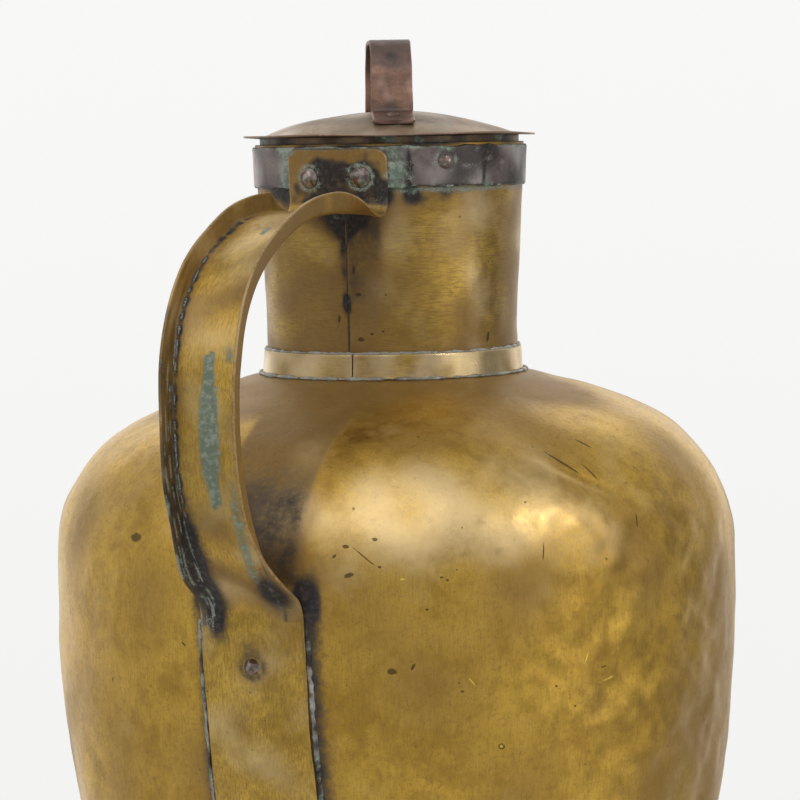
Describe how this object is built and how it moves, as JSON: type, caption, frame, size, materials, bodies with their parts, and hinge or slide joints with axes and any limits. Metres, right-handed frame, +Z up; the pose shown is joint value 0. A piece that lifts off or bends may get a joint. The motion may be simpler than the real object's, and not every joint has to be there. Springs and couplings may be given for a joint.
{
  "type": "water jug",
  "caption": "Large raised sheet-brass water jug with a conical neck, a riveted channelled strap handle, a foot ring and a lift-off copper lid with a strap loop.",
  "frame": {"origin": "centre of the foot ring, on the plane it stands on", "axes": "+Z up along the jug's axis; the handle is on the -Y side, and the strap loop of the lid is turned 26 degrees from it"},
  "size_m": [0.3131, 0.3604, 0.5276],
  "materials": {
    "brass_sheet": "satin, old brown and green patina",
    "copper_sheet": "dark brown copper patina, satin",
    "copper_rivet": "hammered copper, dark, with pale verdigris round the heads",
    "tin_solder": "dull grey tin-lead solder"
  },
  "bodies": {
    "jug": {"body_shell": "brass_sheet", "base_plate": "brass_sheet", "foot_ring": "brass_sheet", "neck": "brass_sheet", "neck_collar": "brass_sheet", "collar_solder": "tin_solder", "rim_band": "copper_sheet", "rim_band_rivet": "copper_rivet", "handle_strap": "brass_sheet", "handle_neck_rivets": "copper_rivet", "handle_body_rivets": "copper_rivet", "handle_solder": "tin_solder"},
    "lid": {"lid_cover": "copper_sheet", "lid_sleeve": "copper_sheet", "lid_handle": "copper_sheet", "lid_handle_rivets": "copper_rivet"}
  },
  "joints": [
    {"name": "lid_lift", "type": "slide", "parent": "jug", "child": "lid", "axis": [0, 0, 1], "range_m": [0, 0.15]}
  ]
}
